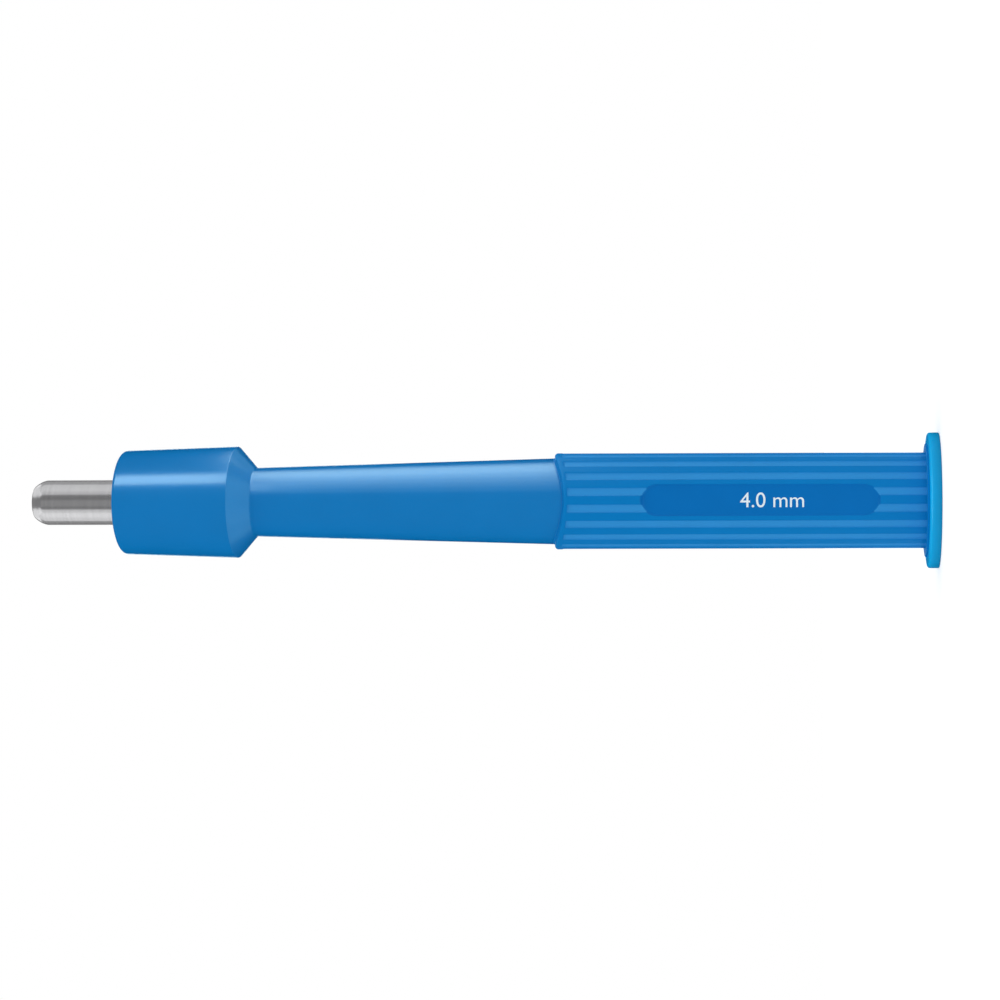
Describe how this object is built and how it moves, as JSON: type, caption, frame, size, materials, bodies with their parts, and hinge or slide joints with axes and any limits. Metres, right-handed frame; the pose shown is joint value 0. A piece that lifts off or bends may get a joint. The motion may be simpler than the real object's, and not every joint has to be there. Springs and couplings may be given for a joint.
{
  "type": "biopsy punch",
  "caption": "Disposable skin biopsy punch: a stepped blue plastic handle with a fluted grip and thumb pads, a sharp steel cutting tube and a round end disc.",
  "frame": {"origin": "centre of the end disc's flat rear face, on the punch's axis", "axes": "+Z runs along the punch from the end disc to the cutting edge; -Y and +Y are the sides with the thumb pads, and the picture looks along +Y"},
  "size_m": [0.016, 0.016, 0.11],
  "materials": {
    "handle_blue": "moulded ABS, semi-gloss lands and matt flute floors",
    "ground_steel": "stainless steel tube, fine turned and ground surface",
    "disc_blue": "moulded ABS, light blue, semi-gloss"
  },
  "bodies": {
    "root": {"handle": "handle_blue", "cutting_tube": "ground_steel", "end_disc": "disc_blue"}
  },
  "joints": []
}
